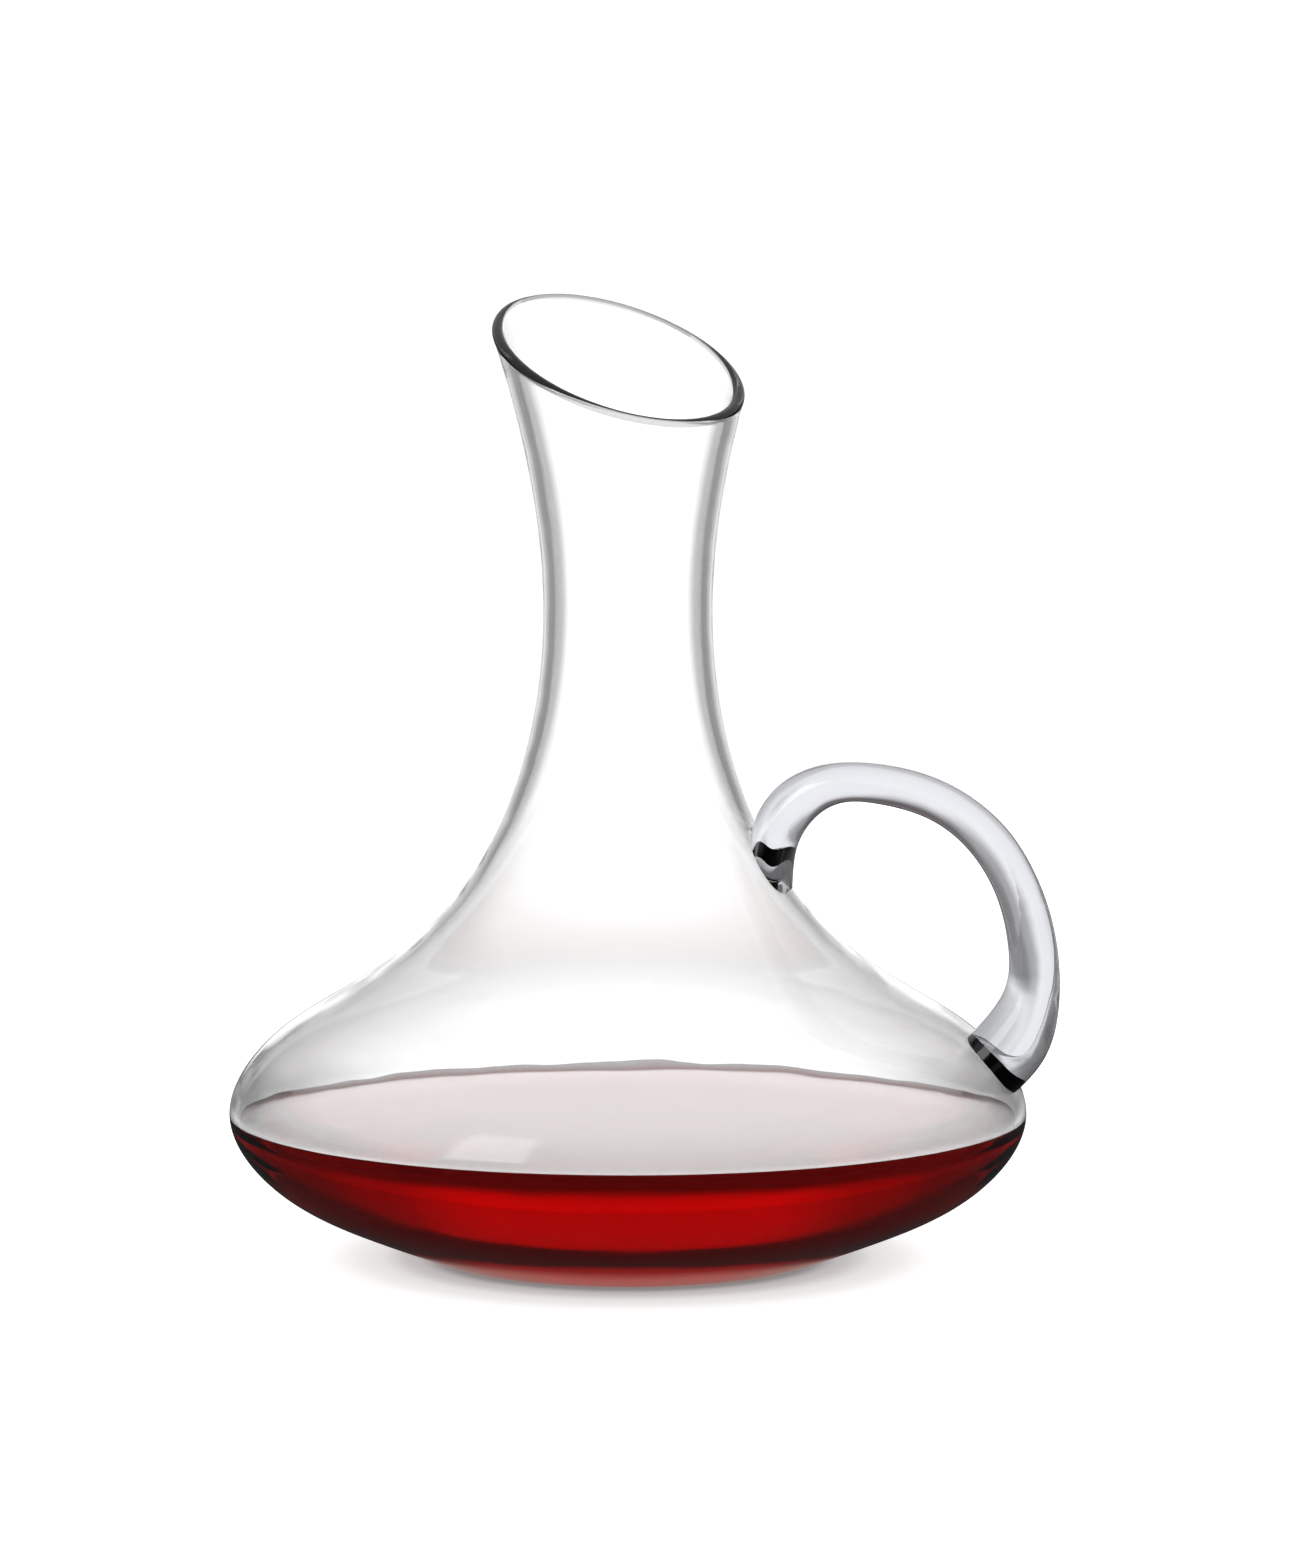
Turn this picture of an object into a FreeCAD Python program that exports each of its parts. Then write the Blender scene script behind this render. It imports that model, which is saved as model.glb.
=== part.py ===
import FreeCAD, Part
import math
import os

# A handled wine decanter: a broad, low bowl under a slender flaring neck with a slanted lip,
# blown in one piece, a solid glass handle fused on at the shoulder, and the wine it holds.
# Millimetres, +Z up. The origin is on the table under the neck's axis; the handle points along +X.

V = FreeCAD.Vector

# Vessel profile, from the foot to above the lip: outer radius, height, wall thickness
STATIONS = [
    (49.0, 0.0, 3.8),
    (72.6, 9.0, 3.1),
    (93.6, 21.0, 2.5),
    (103.0, 37.5, 2.3),
    (95.8, 53.0, 2.3),
    (73.5, 69.0, 2.3),
    (49.8, 87.0, 2.3),
    (33.2, 112.0, 2.5),
    (24.35, 140.0, 3.1),
    (21.9, 172.0, 3.4),
    (27.5, 212.0, 3.4),
    (41.3, 256.0, 2.7),
]
FOOT_SLOPE = 19.0          # degrees above horizontal where the bowl leaves the foot
FLARE_SLOPE = 69.0         # degrees above horizontal at the top of the profile
FOOT_INNER_R = 42.0        # inside radius of the flat ring the vessel stands on
PUNT = 2.0                 # rise of the underside at the axis
FLOOR_THICK = 3.4          # glass thickness at the axis

# Slanted lip
LIP_HEIGHT = 230.4         # height at which the lip's plane crosses the axis
LIP_TILT = 26.2            # degrees from horizontal
LIP_LOW_AZIMUTH = -47.0    # direction of the lip's low side, degrees from +X
LIP_ROUND = 1.0            # fire-polished rounding of the lip's two edges

# Wine
WINE_LEVEL = 36.2

# Handle sections in the XZ plane, from the neck root over the arch to the bowl root:
# outer edge x, z, inner edge x, z, width across Y, fullness of the corners (0.707 is an ellipse,
# 1 a rectangle). The first and last lie inside the vessel.
HANDLE = [
    (31.5, 104.0, 39.5, 79.0, 24.0, 0.80),
    (33.0, 111.6, 42.0, 91.0, 22.0, 0.80),
    (35.2, 117.9, 43.6, 105.6, 19.0, 0.76),
    (39.3, 122.9, 47.2, 112.8, 18.0, 0.73),
    (48.0, 127.7, 53.3, 117.8, 17.5, 0.72),
    (66.7, 128.7, 65.4, 118.6, 16.5, 0.707),
    (83.2, 124.1, 78.8, 114.8, 16.0, 0.707),
    (96.8, 114.4, 89.4, 106.4, 16.0, 0.707),
    (105.6, 101.4, 95.9, 95.3, 16.0, 0.707),
    (110.8, 85.9, 98.8, 83.2, 16.5, 0.707),
    (112.0, 69.3, 98.0, 72.0, 17.5, 0.72),
    (108.1, 53.7, 90.9, 61.8, 20.0, 0.75),
    (98.0, 42.5, 83.5, 53.5, 22.0, 0.78),
]


def spline(points, start, end):
    """Smooth curve through the points with the given end directions."""
    curve = Part.BSplineCurve()
    curve.interpolate(Points=points, InitialTangent=start, FinalTangent=end)
    return curve


def slope(degrees):
    a = math.radians(degrees)
    return V(math.cos(a), 0, math.sin(a))


def segments(curve, points):
    """The curve as edges that meet at the points."""
    at = [curve.parameter(p) for p in points]
    return [curve.toShape(a, b) for a, b in zip(at, at[1:])]


def revolve(edges):
    """Solid of revolution about the vertical axis."""
    face = Part.Face(Part.Wire(Part.__sortEdges__(edges)))
    return face.revolve(V(0, 0, 0), V(0, 0, 1), 360)


def line(a, b):
    return Part.makeLine(a, b)


# Outer profile, and the inner one set in from it by the wall
outer_points = [V(r, 0, z) for r, z, wall in STATIONS]
outer = spline(outer_points, slope(FOOT_SLOPE), slope(FLARE_SLOPE))
floor = PUNT + FLOOR_THICK
inner_points = [V(0, 0, floor), V(24, 0, floor - 0.7)]
for (r, z, wall), point in zip(STATIONS, outer_points):
    along = outer.tangent(outer.parameter(point))[0]
    inner_points.append(point + V(-along.z, 0, along.x) * wall)
inner = spline(inner_points, V(1, 0, 0), slope(FLARE_SLOPE))

top_outer = outer_points[-1]
top_inner = inner_points[-1]
axis_top = V(0, 0, top_outer.z)
foot_outer = outer_points[0]
foot_inner = V(FOOT_INNER_R, 0, 0)
punt_mid = V(FOOT_INNER_R / 2, 0, PUNT * 0.75)
punt = Part.Arc(V(0, 0, PUNT), punt_mid, foot_inner).toShape()

# Body of glass filled to the axis, and the space inside it
filled = revolve([
    *segments(outer, outer_points[::2] + outer_points[-1:]),
    line(top_outer, axis_top),
    line(axis_top, V(0, 0, PUNT)),
    punt,
    line(foot_inner, foot_outer),
])
hollow_top = V(0, 0, top_inner.z)
hollow = revolve([
    *segments(inner, inner_points[::2] + inner_points[-1:]),
    line(top_inner, hollow_top),
    line(hollow_top, inner_points[0]),
])

# Everything above the lip's slanted plane
low = math.radians(LIP_LOW_AZIMUTH)
SIZE = 400
above = Part.makeBox(SIZE, SIZE, SIZE, V(-SIZE / 2, -SIZE / 2, 0))
hinge = V(-math.sin(low), math.cos(low), 0)
above.Placement = FreeCAD.Placement(V(0, 0, LIP_HEIGHT), FreeCAD.Rotation(hinge, LIP_TILT))

vessel = filled.cut(hollow).cut(above)
lip_edges = []
for face in vessel.Faces:
    if face.Surface.TypeId == "Part::GeomPlane" and face.CenterOfMass.z > LIP_HEIGHT - 20:
        lip_edges.extend(face.Edges)
vessel = vessel.makeFillet(LIP_ROUND, lip_edges)

# Wine: the space inside, up to the level
room = Part.makeCylinder(SIZE, WINE_LEVEL)
wine = hollow.common(room)

# Handle: rounded sections joined smoothly, cut off where it meets the vessel
sections = []
for out_x, out_z, in_x, in_z, width, full in HANDLE:
    centre = V(out_x + in_x, 0, out_z + in_z) * 0.5
    half = V(out_x - in_x, 0, out_z - in_z) * 0.5
    across = V(0, width / 2, 0)
    corners = [(1, 0), (full, full), (0, 1), (-full, full), (-1, 0), (-full, -full), (0, -1), (full, -full)]
    ring = Part.BSplineCurve()
    ring.interpolate(Points=[centre + half * p + across * q for p, q in corners], PeriodicFlag=True)
    sections.append(Part.Wire(ring.toShape()))
handle = Part.makeLoft(sections, True, False).cut(filled)

os.makedirs("parts", exist_ok=True)
for name, shape in (("vessel", vessel), ("handle", handle), ("wine", wine)):
    solids = shape.Solids
    print(name, shape.isValid(), len(solids), round(shape.Volume / 1000, 2), "ml", shape.BoundBox)
    solids[0].exportStep("parts/" + name + ".step")
print("free space above the wine, ml", round((hollow.cut(above).Volume - wine.Volume) / 1000, 1))
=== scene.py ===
import math

import bmesh
import bpy
import numpy as np
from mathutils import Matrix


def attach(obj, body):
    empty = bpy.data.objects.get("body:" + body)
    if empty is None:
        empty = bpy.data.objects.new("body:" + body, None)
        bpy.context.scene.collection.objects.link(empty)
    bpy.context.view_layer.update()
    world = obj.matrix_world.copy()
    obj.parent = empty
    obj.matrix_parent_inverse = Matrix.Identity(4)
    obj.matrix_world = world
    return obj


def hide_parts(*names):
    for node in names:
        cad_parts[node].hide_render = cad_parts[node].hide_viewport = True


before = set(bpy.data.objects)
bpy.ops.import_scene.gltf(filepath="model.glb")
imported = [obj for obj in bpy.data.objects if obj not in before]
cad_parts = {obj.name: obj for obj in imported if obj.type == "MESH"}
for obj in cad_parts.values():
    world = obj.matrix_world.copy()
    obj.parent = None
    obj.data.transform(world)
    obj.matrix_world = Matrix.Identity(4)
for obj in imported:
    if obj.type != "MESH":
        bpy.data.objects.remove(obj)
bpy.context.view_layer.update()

# Vessel profile in millimetres, from the foot to above the lip: outer radius, height, wall
STATIONS = np.array([
    (49.0, 0.0, 3.8),
    (72.6, 9.0, 3.1),
    (93.6, 21.0, 2.5),
    (103.0, 37.5, 2.3),
    (95.8, 53.0, 2.3),
    (73.5, 69.0, 2.3),
    (49.8, 87.0, 2.3),
    (33.2, 112.0, 2.5),
    (24.35, 140.0, 3.1),
    (21.9, 172.0, 3.4),
    (27.5, 212.0, 3.4),
    (41.3, 256.0, 2.7),
])
FOOT_SLOPE = math.radians(19.0)      # above horizontal, where the bowl leaves the foot
FLARE_SLOPE = math.radians(69.0)     # above horizontal, at the top of the profile
FOOT_INNER_R = 42.0                  # inside of the ring that the vessel stands on
PUNT = 2.0                           # rise of the underside at the axis
FLOOR = PUNT + 3.4                   # top of the glass floor at the axis
FLOOR_BEND = (24, FLOOR - 0.7)       # a point of the glass floor between axis and foot
LIP_HEIGHT = 230.4                   # where the lip's plane crosses the axis
LIP_TILT = math.radians(26.2)
LIP_LOW = math.radians(-47.0)        # bearing of the lip's low side from +X
LIP_WALL = 3.0
SLANT_FROM = 9                       # the station above which rings slant towards the lip
WINE_LEVEL = 36.2
MENISCUS = 1.1                       # rise of the wine at the wall
MENISCUS_REACH = 2.1                 # distance in which it falls to about a third
MENISCUS_STEPS = (0, 0.15, 0.4, 0.8, 1.3, 2, 3, 4.2, 6, 8.5, 12, 18, 28, 40, 55, 70, 85, 97)
GROW = 0.12                          # how far the wine's body reaches into the glass
SURFACE_GAP = 0.02                   # between the wine's body and its surface sheet
CORE_GROW = 1.1                      # how far the handle's roots reach into the wall
CORE_MARGIN = 30.0                   # length of inner profile left out at each end of the core

# Handle from the neck to the bowl: outer edge x, z, inner edge x, z, width, corner fullness
HANDLE = np.array([
    (31.5, 104.0, 39.5, 79.0, 24.0, 0.80),
    (33.0, 111.6, 42.0, 91.0, 22.0, 0.80),
    (35.2, 117.9, 43.6, 105.6, 19.0, 0.76),
    (39.3, 122.9, 47.2, 112.8, 18.0, 0.73),
    (48.0, 127.7, 53.3, 117.8, 17.5, 0.72),
    (66.7, 128.7, 65.4, 118.6, 16.5, 0.707),
    (83.2, 124.1, 78.8, 114.8, 16.0, 0.707),
    (96.8, 114.4, 89.4, 106.4, 16.0, 0.707),
    (105.6, 101.4, 95.9, 95.3, 16.0, 0.707),
    (110.8, 85.9, 98.8, 83.2, 16.5, 0.707),
    (112.0, 69.3, 98.0, 72.0, 17.5, 0.72),
    (108.1, 53.7, 90.9, 61.8, 20.0, 0.75),
    (98.0, 42.5, 83.5, 53.5, 22.0, 0.78),
])

# How finely the meshes are divided
AROUND = 256
UNDERSIDE_RINGS = 18
OUTER_RINGS = 190
SLANTED_RINGS = 60
LIP_RINGS = 16
INNER_RINGS = 130
WET_RINGS = 120
CORE_RINGS = 150
HANDLE_RINGS = 220
HANDLE_AROUND = 72
PHI = np.linspace(0, 2 * math.pi, AROUND, endpoint=False)


# ------------------------------------------------------------ curves

class Spline:
    """Cubic spline through rows of values at the parameters u, free or clamped at its ends."""

    def __init__(self, u, values, start=None, end=None):
        p = np.asarray(values, float)
        h = np.diff(u)
        n = len(p)
        a, b = np.zeros((n, n)), np.zeros_like(p)
        for i in range(1, n - 1):
            a[i, i - 1:i + 2] = 1 / h[i - 1], 2 / h[i - 1] + 2 / h[i], 1 / h[i]
            b[i] = 3 * (p[i] - p[i - 1]) / h[i - 1]**2 + 3 * (p[i + 1] - p[i]) / h[i]**2
        a[0, :2] = (2, 1) if start is None else (1, 0)
        b[0] = 3 * (p[1] - p[0]) / h[0] if start is None else start
        a[-1, -2:] = (1, 2) if end is None else (0, 1)
        b[-1] = 3 * (p[-1] - p[-2]) / h[-1] if end is None else end
        self.u, self.p, self.d = np.asarray(u, float), p, np.linalg.solve(a, b)

    def __call__(self, t):
        t = np.clip(np.atleast_1d(t), self.u[0], self.u[-1])
        i = np.clip(np.searchsorted(self.u, t, side="right") - 1, 0, len(self.u) - 2)
        h = (self.u[i + 1] - self.u[i])[:, None]
        s = (t - self.u[i])[:, None] / h
        value = self.p[i] * (2 * s**3 - 3 * s**2 + 1) + self.p[i + 1] * (3 * s**2 - 2 * s**3)
        return value + h * (self.d[i] * (s**3 - 2 * s**2 + s) + self.d[i + 1] * (s**3 - s**2))

    def tangent(self, t):
        t = np.atleast_1d(t)
        step = self(t + 0.01) - self(t - 0.01)
        return step / np.linalg.norm(step, axis=1)[:, None]


def lengths(points):
    """Running length along a row of points."""
    return np.concatenate([[0.0], np.cumsum(np.linalg.norm(np.diff(points, axis=0), axis=1))])


def heading(angle):
    return np.array([math.cos(angle), math.sin(angle)])


def left_of(direction):
    return np.stack([-direction[:, 1], direction[:, 0]], 1)


outline = STATIONS[:, :2]
outer = Spline(lengths(outline), outline, heading(FOOT_SLOPE), heading(FLARE_SLOPE))
inset = outline + left_of(outer.tangent(outer.u)) * STATIONS[:, 2:3]
inset = np.vstack([(0, FLOOR), FLOOR_BEND, inset])
inner = Spline(lengths(inset), inset, (1, 0), heading(FLARE_SLOPE))
inner_at = np.linspace(0, inner.u[-1], 6000)
inner_line = inner(inner_at)
# where the wine's edge meets the wall, looked for only where the inner profile keeps rising
rising = slice(1200, 4000)
WET = float(np.interp(WINE_LEVEL + MENISCUS, inner_line[rising, 1], inner_at[rising]))


def nearest_inner(points):
    """Parameters of the inner profile nearest to the points."""
    return np.array([inner_at[((inner_line - p)**2).sum(1).argmin()] for p in points])


# ------------------------------------------------------------ meshes

def add_mesh(name, verts, faces):
    mesh = bpy.data.meshes.new(name)
    mesh.from_pydata([tuple(v) for v in verts], [], faces)
    mesh.polygons.foreach_set("use_smooth", [True] * len(mesh.polygons))
    mesh.update()
    obj = bpy.data.objects.new(name, mesh)
    bpy.context.scene.collection.objects.link(obj)
    return obj


def skin(name, rings, cap_start=True, cap_end=True):
    """Mesh over rings of points, in millimetres, with each end closed to its middle."""
    rings = [np.asarray(r) / 1000 for r in rings]
    n, m = len(rings[0]), len(rings)
    verts = [p for ring in rings for p in ring]
    faces = [
        (i * n + j, i * n + (j + 1) % n, (i + 1) * n + (j + 1) % n, (i + 1) * n + j)
        for i in range(m - 1) for j in range(n)
    ]
    if cap_start:
        verts.append(rings[0].mean(0))
        faces += [(len(verts) - 1, (j + 1) % n, j) for j in range(n)]
    if cap_end:
        verts.append(rings[-1].mean(0))
        k = (m - 1) * n
        faces += [(len(verts) - 1, k + j, k + (j + 1) % n) for j in range(n)]
    return add_mesh(name, verts, faces)


def turned(points):
    """A ring round the axis from one (r, z) or one per azimuth."""
    points = np.broadcast_to(points, (AROUND, 2))
    r, z = points[:, 0], points[:, 1]
    return np.stack([r * np.cos(PHI), r * np.sin(PHI), z], 1)


def lip_cut():
    """Parameter of the outer profile where the rounded lip starts, for each azimuth."""
    t = np.linspace(outer.u[SLANT_FROM], outer.u[-1], 3000)
    wall = outer(t)
    along = outer.tangent(t)
    middle = wall + left_of(along) * LIP_WALL / 2
    cuts = []
    for phi in PHI:
        plane = LIP_HEIGHT - math.tan(LIP_TILT) * middle[:, 0] * math.cos(phi - LIP_LOW)
        over = middle[:, 1] + LIP_WALL / 2 / math.cos(LIP_TILT) - plane
        i = int(np.argmax(over > 0))
        cuts.append(np.interp(0, over[i - 1:i + 1], t[i - 1:i + 1]))
    return np.array(cuts)


def vessel_rings():
    """From the middle of the underside, up the outside, over the lip and down to the floor."""
    rings = []
    for r in np.linspace(1, FOOT_INNER_R - 1, UNDERSIDE_RINGS):
        rings.append(turned((r, PUNT * (1 - (r / FOOT_INNER_R)**2))))
    for r, z in ((41.5, 0.05), (42.1, 0.01), (43, 0), (45, 0), (47, 0), (48, 0.02), (48.7, 0.1)):
        rings.append(turned((r, z)))
    split = outer.u[SLANT_FROM]
    for t in np.linspace(1.2, split, OUTER_RINGS):
        rings.append(turned(outer(t)[0]))
    cut = lip_cut()
    for s in np.linspace(0, 1, SLANTED_RINGS)[1:]:
        rings.append(turned(outer(split + (cut - split) * s)))
    along = outer.tangent(cut)
    outside = outer(cut)
    cut_inner = nearest_inner(outside + left_of(along) * LIP_WALL)
    inside = inner(cut_inner)
    middle, half = (outside + inside) / 2, (outside - inside) / 2
    reach = np.linalg.norm(half, axis=1)[:, None] * along
    lip_from = len(rings) - 1
    for a in np.linspace(0, math.pi, LIP_RINGS)[1:-1]:
        rings.append(turned(middle + half * math.cos(a) + reach * math.sin(a)))
    lip_to = len(rings)
    # the inner profile has two more points, on the floor
    split_inner = inner.u[SLANT_FROM + 2]
    for s in np.linspace(0, 1, SLANTED_RINGS)[:-1]:
        rings.append(turned(inner(cut_inner + (split_inner - cut_inner) * s)))
    for t in np.linspace(split_inner, WET, INNER_RINGS):
        rings.append(turned(inner(t)[0]))
    wet_from = len(rings) - 1
    for t in np.linspace(WET, 1, WET_RINGS)[1:]:
        rings.append(turned(inner(t)[0]))
    return rings, lip_from, lip_to, wet_from


def handle_rings():
    """Rounded sections along the handle, from inside the neck's wall to inside the bowl's."""
    frames = []
    for out_x, out_z, in_x, in_z, width, full in HANDLE:
        middle = np.array([out_x + in_x, 0, out_z + in_z]) / 2
        half = np.array([out_x - in_x, 0, out_z - in_z]) / 2
        across = np.array([0, width / 2, 0])
        around = [
            (1, 0), (full, full), (0, 1), (-full, full),
            (-1, 0), (-full, -full), (0, -1), (full, -full),
        ]
        frames.append([middle + half * p + across * q for p, q in around])
    frames = np.array(frames)
    # three turns of the eight points, of which the middle one closes smoothly
    turns = np.tile(frames, (1, 3, 1))
    at = np.linspace(8, 16, HANDLE_AROUND, endpoint=False)
    full_rings = np.array([Spline(np.arange(24), ring)(at) for ring in turns])
    u = lengths(frames.mean(1))
    along = Spline(u, full_rings.reshape(len(HANDLE), -1))
    at = np.linspace(0, u[-1], HANDLE_RINGS)
    return along(at).reshape(HANDLE_RINGS, HANDLE_AROUND, 3)


def wine_sides():
    """From the middle of the floor up the wall, a little way into the glass."""
    rings = []
    for t in np.linspace(1, WET, WET_RINGS):
        away = left_of(inner.tangent(t))[0]
        rings.append(turned(inner(t)[0] - away * GROW))
    return rings


def wine_top(lower=0.0):
    """From the wall in over the meniscus to the middle."""
    edge = inner(WET)[0][0] + GROW
    level = WINE_LEVEL - lower
    return [
        turned((edge - d, level + MENISCUS * math.exp(-d / MENISCUS_REACH)))
        for d in MENISCUS_STEPS
    ]


def core_rings():
    """The hollow, grown a little into the wall, to trim the handle's roots."""
    rings = []
    for t in np.linspace(CORE_MARGIN, inner.u[-1] - CORE_MARGIN, CORE_RINGS):
        rings.append(turned(inner(t)[0] - left_of(inner.tangent(t))[0] * CORE_GROW))
    return rings


def combine(target, other, operation):
    """Boolean of two meshes, applied to the first; the second goes."""
    mod = target.modifiers.new("combine", "BOOLEAN")
    mod.operation = operation
    mod.object = other
    mod.solver = "EXACT"
    mod.material_mode = "TRANSFER"
    graph = bpy.context.evaluated_depsgraph_get()
    mesh = bpy.data.meshes.new_from_object(target.evaluated_get(graph))
    target.modifiers.clear()
    target.data = mesh
    bpy.data.objects.remove(other)


def keep_faces(obj, name, materials):
    """A copy of the object that has only the faces with these materials."""
    found = list(obj.data.materials)
    place = {found.index(m): i for i, m in enumerate(materials)}
    bm = bmesh.new()
    bm.from_mesh(obj.data)
    gone = [f for f in bm.faces if f.material_index not in place]
    bmesh.ops.delete(bm, geom=gone, context="FACES")
    for f in bm.faces:
        f.material_index = place[f.material_index]
        f.smooth = True
    mesh = bpy.data.meshes.new(name)
    bm.to_mesh(mesh)
    bm.free()
    for m in materials:
        mesh.materials.append(m)
    kept = bpy.data.objects.new(name, mesh)
    bpy.context.scene.collection.objects.link(kept)
    return kept


# ------------------------------------------------------------ materials

GLASS_IOR = 1.5
WINE_IOR = 1.34
WINE_COLOUR = (0.968, 0.03, 0.05, 1)
WINE_DENSITY = 110
SURFACE_COAT = 0.7
SURFACE_COAT_IOR = 1.5
WAVE_STRETCH = (1, 1, 2.6)           # the waves are this much closer together up the wall

# Painted shade on the glass, from facing (0) to grazing (1): base colours that darken towards
# grazing stand in for the glass's dark outlines and grey shading
CLEAR = (0.985, 0.99, 0.99)
EDGE_PAINTED_SHADE = [(0, CLEAR), (0.35, CLEAR), (0.55, 0.85), (0.8, 0.75), (1, 0.2)]
# the handle is painted grey all over as painted shade, darkest at grazing
HANDLE_PAINTED_SHADE = [
    (0, (0.68, 0.69, 0.72)), (0.3, (0.62, 0.63, 0.66)), (0.6, (0.5, 0.51, 0.54)),
    (0.85, 0.42), (1, 0.08),
]
# the lip is painted darker grey as painted shade on its rounded edge
LIP_PAINTED_SHADE = [(0, 0.42), (0.5, 0.34), (1, 0.12)]


def new_material(name):
    material = bpy.data.materials.new(name)
    material.use_nodes = True
    tree = material.node_tree
    shader = tree.nodes["Principled BSDF"]
    return material, tree, shader


def node(tree, kind, **values):
    made = tree.nodes.new(kind)
    for key, value in values.items():
        setattr(made, key, value)
    return made


def rgb(value):
    """A colour, or a grey from one number."""
    return (value, value, value) if isinstance(value, (int, float)) else value


def ramp(tree, stops):
    """Eased colour ramp through (place, colour or grey)."""
    made = tree.nodes.new("ShaderNodeValToRGB")
    made.color_ramp.interpolation = "EASE"
    elements = made.color_ramp.elements
    while len(elements) < len(stops):
        elements.new(0.5)
    for element, (at, value) in zip(elements, stops):
        element.position = at
        element.color = (*rgb(value), 1)
    return made


def glass(name, wave_size, wave_depth, edge=None, ior=GLASS_IOR):
    """Blown glass with slow waves in its surface, with painted shade from facing to grazing given by
    edge.
    """
    material, tree, shader = new_material(name)
    link = tree.links.new
    shader.inputs["Transmission Weight"].default_value = 1
    shader.inputs["IOR"].default_value = ior
    shader.inputs["Roughness"].default_value = 0
    place = node(tree, "ShaderNodeTexCoord")
    stretch = node(tree, "ShaderNodeMapping")
    stretch.inputs["Scale"].default_value = WAVE_STRETCH
    link(place.outputs["Object"], stretch.inputs["Vector"])
    waves = node(tree, "ShaderNodeTexNoise")
    waves.inputs["Scale"].default_value = 1 / wave_size
    waves.inputs["Detail"].default_value = 1
    link(stretch.outputs[0], waves.inputs["Vector"])
    bump = node(tree, "ShaderNodeBump")
    bump.inputs["Strength"].default_value = 1
    bump.inputs["Distance"].default_value = wave_depth
    link(waves.outputs["Fac"], bump.inputs["Height"])
    link(bump.outputs[0], shader.inputs["Normal"])
    if edge is None:
        shader.inputs["Base Color"].default_value = (1, 1, 1, 1)
        return material
    # painted shade: the base colour darkens from facing to grazing
    facing = node(tree, "ShaderNodeLayerWeight")
    facing.inputs["Blend"].default_value = 0.5
    painted_edge_shade = ramp(tree, edge)
    link(facing.outputs["Facing"], painted_edge_shade.inputs["Fac"])
    link(painted_edge_shade.outputs["Color"], shader.inputs["Base Color"])
    return material


def red_wine():
    """The body of the wine: only its colour, as the glass and the wine's surface do the bending."""
    material, tree, shader = new_material("wine_body")
    shader.inputs["Transmission Weight"].default_value = 1
    shader.inputs["IOR"].default_value = 1.0
    shader.inputs["Roughness"].default_value = 0
    absorb = node(tree, "ShaderNodeVolumeAbsorption")
    absorb.inputs["Color"].default_value = WINE_COLOUR
    absorb.inputs["Density"].default_value = WINE_DENSITY
    tree.links.new(absorb.outputs[0], tree.nodes["Material Output"].inputs["Volume"])
    return material


def wine_skin():
    """The wine's shiny upper surface."""
    material, tree, shader = new_material("wine_surface")
    shader.inputs["Transmission Weight"].default_value = 1
    shader.inputs["IOR"].default_value = WINE_IOR
    shader.inputs["Roughness"].default_value = 0
    shader.inputs["Coat Weight"].default_value = SURFACE_COAT
    shader.inputs["Coat Roughness"].default_value = 0
    shader.inputs["Coat IOR"].default_value = SURFACE_COAT_IOR
    return material


vessel_material = glass("glass", 0.03, 0.00016, EDGE_PAINTED_SHADE)
lip_material = glass("lip_glass", 0.03, 0.00008, LIP_PAINTED_SHADE)
handle_material = glass("handle_glass", 0.02, 0.00012, HANDLE_PAINTED_SHADE)
wet_material = glass("wet_glass", 0.03, 0.00012, ior=GLASS_IOR / WINE_IOR)
wine_material = red_wine()
surface_material = wine_skin()


# ------------------------------------------------------------ pieces

rings, lip_from, lip_to, wet_from = vessel_rings()
joined = skin("joined", rings)
for material in (vessel_material, wet_material, lip_material):
    joined.data.materials.append(material)
body_faces = (len(rings) - 1) * AROUND
for face in joined.data.polygons:
    past_edge = wet_from * AROUND <= face.index < body_faces
    inner_cap = face.index >= body_faces + AROUND
    on_lip = lip_from * AROUND <= face.index < lip_to * AROUND
    face.material_index = 1 if past_edge or inner_cap else 2 if on_lip else 0
loop = skin("loop", handle_rings()[::-1])
loop.data.materials.append(handle_material)
core = skin("core", core_rings())
core.data.materials.append(handle_material)
combine(loop, core, "DIFFERENCE")
combine(joined, loop, "UNION")
vessel = keep_faces(joined, "vessel_glass", [vessel_material, wet_material, lip_material])
handle = keep_faces(joined, "handle_loop", [handle_material])
bpy.data.objects.remove(joined)
wine = skin("wine_body", wine_sides() + wine_top(SURFACE_GAP)[1:])
wine.data.materials.append(wine_material)
surface = skin("wine_surface", wine_top(), cap_start=False)
surface.data.materials.append(surface_material)
# the floor's shade is painted in its material, so the wine casts no shade or reddish light on it
wine.visible_diffuse = False
surface.visible_diffuse = False

for piece, name, slot in (
    (vessel, "vessel", "glass"),
    (handle, "handle", "handle_glass"),
    (wine, "wine", "red_wine"),
    (surface, "wine", "red_wine"),
):
    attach(piece, "root")
    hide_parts(name)


# ------------------------------------------------------------ studio

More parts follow.
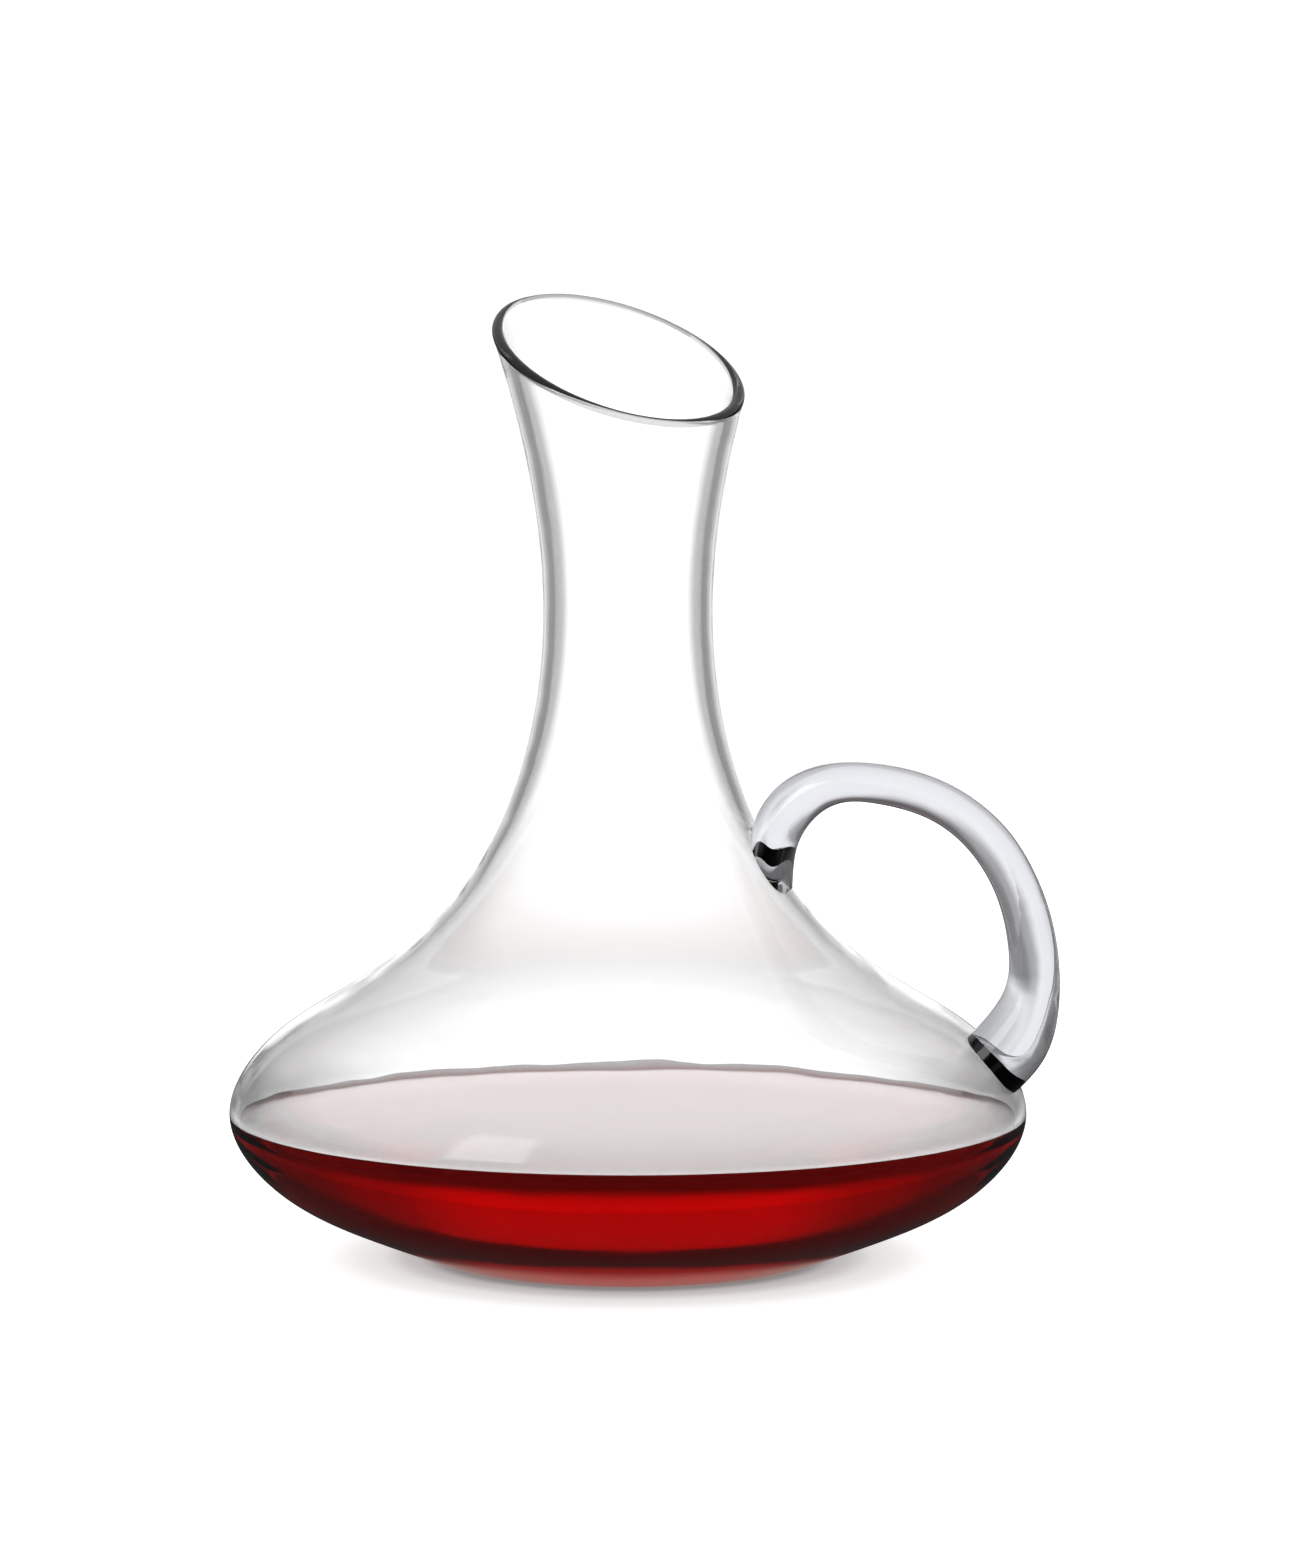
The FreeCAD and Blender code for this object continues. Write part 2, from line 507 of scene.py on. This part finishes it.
# The camera sees a white surround. Rays bent by the glass and rays mirrored in it each see their own
# brightness, by bearing in degrees: 0 straight behind the object, 180 behind the camera.
VIEW = math.radians(11.0)            # how far the camera stands round from -Y towards +X
THROUGH = [
    (0, 1.3), (9, 1.3), (20, 0.6), (30, 0.33), (43, 0.33), (54, 0.6),
    (72, 0.9), (90, 1.0), (110, 0.95), (180, 0.95),
]
MIRRORED = [(0, 1.2), (11, 1.2), (17, 0.2), (60, 0.1), (90, 0.25), (120, 0.1), (180, 0.03)]
OVERHEAD = [(0.0, 0.0), (0.15, 0.0), (0.28, 1.0)]    # how far up is overhead, by a direction's z
OVERHEAD_THROUGH, OVERHEAD_MIRRORED = 0.2, 0.6
WINDOW_BEARING = (math.radians(-149), math.radians(-129))
WINDOW_RISE = (math.sin(math.radians(10)), math.sin(math.radians(38)))
WINDOW_STRENGTH = 3.2
CAMERA_WHITE = 1.1

# The floor, by distance from the object's axis in metres: its glow is painted light and shade
FLOOR_RADIUS = 1.2
FLOOR_DROP = 0.0004
# painted shade under the object, seen through the glass: the floor's glow is dark near the axis and
# bright far out
FLOOR_THROUGH_PAINTED_SHADE = [
    (0, 0.2), (0.05, 0.2), (0.08, 0.38), (0.11, 0.45), (0.14, 0.75), (0.22, 0.95), (0.3, 1.3),
]
# painted reflection for mirrored rays: a reddish-brown glow ring just outside the foot, dark beyond
FLOOR_MIRRORED_PAINTED_LIGHT = [
    (0.046, (0.4, 0.31, 0.29)), (0.052, (0.34, 0.24, 0.21)), (0.058, 0.03),
    (0.25, 0.03), (0.4, 0.2),
]
# painted contact shadow for the camera: the floor's glow is dark at the foot and brightens outward
FLOOR_GLOW_PAINTED_SHADOW = [(0.049, 0.2), (0.055, 0.45), (0.066, 0.7), (0.08, 0.85)]
# where the floor's painted shade gives way to the surround's brightness painted on the floor
FLOOR_TO_SURROUND = [(0.25, 0), (0.42, 1)]
FLOOR_COLOUR = 0.65

floor_bm = bmesh.new()
bmesh.ops.create_circle(floor_bm, cap_ends=True, segments=96, radius=FLOOR_RADIUS)
floor_mesh = bpy.data.meshes.new("floor")
floor_bm.to_mesh(floor_mesh)
floor_bm.free()
floor = bpy.data.objects.new("floor", floor_mesh)
bpy.context.scene.collection.objects.link(floor)
floor.location.z = -FLOOR_DROP
floor_material, tree, shader = new_material("floor")
link = tree.links.new
shader.inputs["Roughness"].default_value = 0.9
shader.inputs["Specular IOR Level"].default_value = 0
paths = node(tree, "ShaderNodeLightPath")


def mix(factor, first, second):
    """Colour mix in the current tree."""
    made = node(tree, "ShaderNodeMix", data_type="RGBA")
    tree.links.new(factor, made.inputs[0])
    for socket, value in ((made.inputs[6], first), (made.inputs[7], second)):
        if isinstance(value, (int, float)):
            socket.default_value = (*rgb(value), 1)
        else:
            tree.links.new(value, socket)
    return made.outputs[2]


def bearing_share(vector):
    """How far a direction is from straight behind the object, from 0 to 1 behind the camera.

    Also gives the signed angle, clockwise from above, and the height of the direction.
    """
    turn = node(tree, "ShaderNodeVectorRotate", rotation_type="Z_AXIS")
    turn.inputs["Angle"].default_value = -VIEW
    tree.links.new(vector, turn.inputs["Vector"])
    parts = node(tree, "ShaderNodeSeparateXYZ")
    tree.links.new(turn.outputs[0], parts.inputs[0])
    angle = node(tree, "ShaderNodeMath", operation="ARCTAN2")
    tree.links.new(parts.outputs["X"], angle.inputs[0])
    tree.links.new(parts.outputs["Y"], angle.inputs[1])
    size = node(tree, "ShaderNodeMath", operation="ABSOLUTE")
    tree.links.new(angle.outputs[0], size.inputs[0])
    share = node(tree, "ShaderNodeMath", operation="DIVIDE")
    share.inputs[1].default_value = math.pi
    tree.links.new(size.outputs[0], share.inputs[0])
    return share.outputs[0], angle.outputs[0], parts.outputs["Z"]


def bearings(share, stops):
    """Brightness by bearing in degrees: 0 straight behind the object, 180 behind the camera."""
    made = ramp(tree, [(degrees / 180, value) for degrees, value in stops])
    tree.links.new(share, made.inputs["Fac"])
    return made.outputs["Color"]


place = node(tree, "ShaderNodeTexCoord")
share, _, _ = bearing_share(place.outputs["Object"])
far = bearings(share, THROUGH)
reach = node(tree, "ShaderNodeVectorMath", operation="LENGTH")
link(place.outputs["Object"], reach.inputs[0])


def by_distance(stops, span=0.5):
    """Value by distance from the object's axis in metres."""
    scaled = node(tree, "ShaderNodeMath", operation="DIVIDE")
    scaled.inputs[1].default_value = span
    link(reach.outputs["Value"], scaled.inputs[0])
    made = ramp(tree, [(metres / span, value) for metres, value in stops])
    link(scaled.outputs[0], made.inputs["Fac"])
    return made.outputs["Color"]


# painted shade for rays bent through the glass, blending into the surround's brightness far out
refracted_painted_shade = mix(by_distance(FLOOR_TO_SURROUND), by_distance(FLOOR_THROUGH_PAINTED_SHADE), far)
# the floor glows with painted light and shade chosen by ray type
floor_painted_light = mix(paths.outputs["Is Transmission Ray"], 0.0, refracted_painted_shade)
# mirrored rays see the painted reflection ring
floor_painted_light = mix(paths.outputs["Is Reflection Ray"], floor_painted_light, by_distance(FLOOR_MIRRORED_PAINTED_LIGHT))
# camera rays see the painted contact shadow
floor_painted_light = mix(paths.outputs["Is Camera Ray"], floor_painted_light, by_distance(FLOOR_GLOW_PAINTED_SHADOW))
link(floor_painted_light, shader.inputs["Emission Color"])
# rays bent or mirrored by the glass see no lit floor colour, only the painted glow
lit = mix(paths.outputs["Is Transmission Ray"], FLOOR_COLOUR, 0.0)
lit = mix(paths.outputs["Is Reflection Ray"], lit, 0.0)
link(lit, shader.inputs["Base Color"])
shader.inputs["Emission Strength"].default_value = 1.0
floor.data.materials.append(floor_material)

world = bpy.data.worlds.new("studio")
bpy.context.scene.world = world
world.use_nodes = True
tree = world.node_tree
tree.nodes.clear()
link = tree.links.new
place = node(tree, "ShaderNodeTexCoord")
share, signed, up = bearing_share(place.outputs["Generated"])
height = ramp(tree, OVERHEAD)
link(up, height.inputs["Fac"])
paths = node(tree, "ShaderNodeLightPath")
mirror_ray = paths.outputs["Is Reflection Ray"]
around = mix(mirror_ray, bearings(share, THROUGH), bearings(share, MIRRORED))
overhead = mix(mirror_ray, OVERHEAD_THROUGH, OVERHEAD_MIRRORED)
around = mix(height.outputs["Color"], around, overhead)


def product_of(first, second):
    made = node(tree, "ShaderNodeMath", operation="MULTIPLY")
    link(first, made.inputs[0])
    link(second, made.inputs[1])
    return made.outputs[0]


def band(value, low, high, soft):
    """One between two values, falling softly to nothing outside them."""
    sides = []
    for least, most, start, end in ((low - soft, low, 0.0, 1.0), (high, high + soft, 1.0, 0.0)):
        made = node(tree, "ShaderNodeMapRange", interpolation_type="SMOOTHSTEP")
        made.inputs["From Min"].default_value = least
        made.inputs["From Max"].default_value = most
        made.inputs["To Min"].default_value = start
        made.inputs["To Max"].default_value = end
        link(value, made.inputs["Value"])
        sides.append(made.outputs[0])
    return product_of(*sides)


window = product_of(
    band(signed, *WINDOW_BEARING, math.radians(4)),
    band(up, *WINDOW_RISE, 0.1),
)
window = product_of(window, mirror_ray)
around = mix(window, around, WINDOW_STRENGTH)
around = mix(paths.outputs["Is Diffuse Ray"], around, 1.0)
around = mix(paths.outputs["Is Camera Ray"], around, CAMERA_WHITE)
background = node(tree, "ShaderNodeBackground")
link(around, background.inputs["Color"])
background.inputs["Strength"].default_value = 1.0
output = node(tree, "ShaderNodeOutputWorld")
link(background.outputs[0], output.inputs["Surface"])

# ------------------------------------------------------------ camera

camera_data = bpy.data.cameras.new("camera")
camera = bpy.data.objects.new("camera", camera_data)
bpy.context.scene.collection.objects.link(camera)
bpy.context.scene.camera = camera
DISTANCE, HEIGHT, PITCH = 1.545, 0.2749, math.radians(5.553)
camera.location = (DISTANCE * math.sin(VIEW), -DISTANCE * math.cos(VIEW), HEIGHT)
camera.rotation_euler = (math.pi / 2 - PITCH, 0, VIEW)
camera_data.lens = 139.9
camera_data.sensor_width = 36
camera_data.sensor_fit = "AUTO"
camera_data.shift_x = 0.011
camera_data.clip_start = 0.05
camera_data.clip_end = 20

scene = bpy.context.scene
scene.view_settings.view_transform = "Standard"
scene.view_settings.look = "None"
scene.view_settings.exposure = 0.0
scene.cycles.max_bounces = 24
scene.cycles.transmission_bounces = 24
scene.cycles.glossy_bounces = 12
scene.cycles.diffuse_bounces = 4
scene.cycles.caustics_refractive = True
scene.cycles.caustics_reflective = True
scene.cycles.use_denoising = True

bpy.context.view_layer.update()
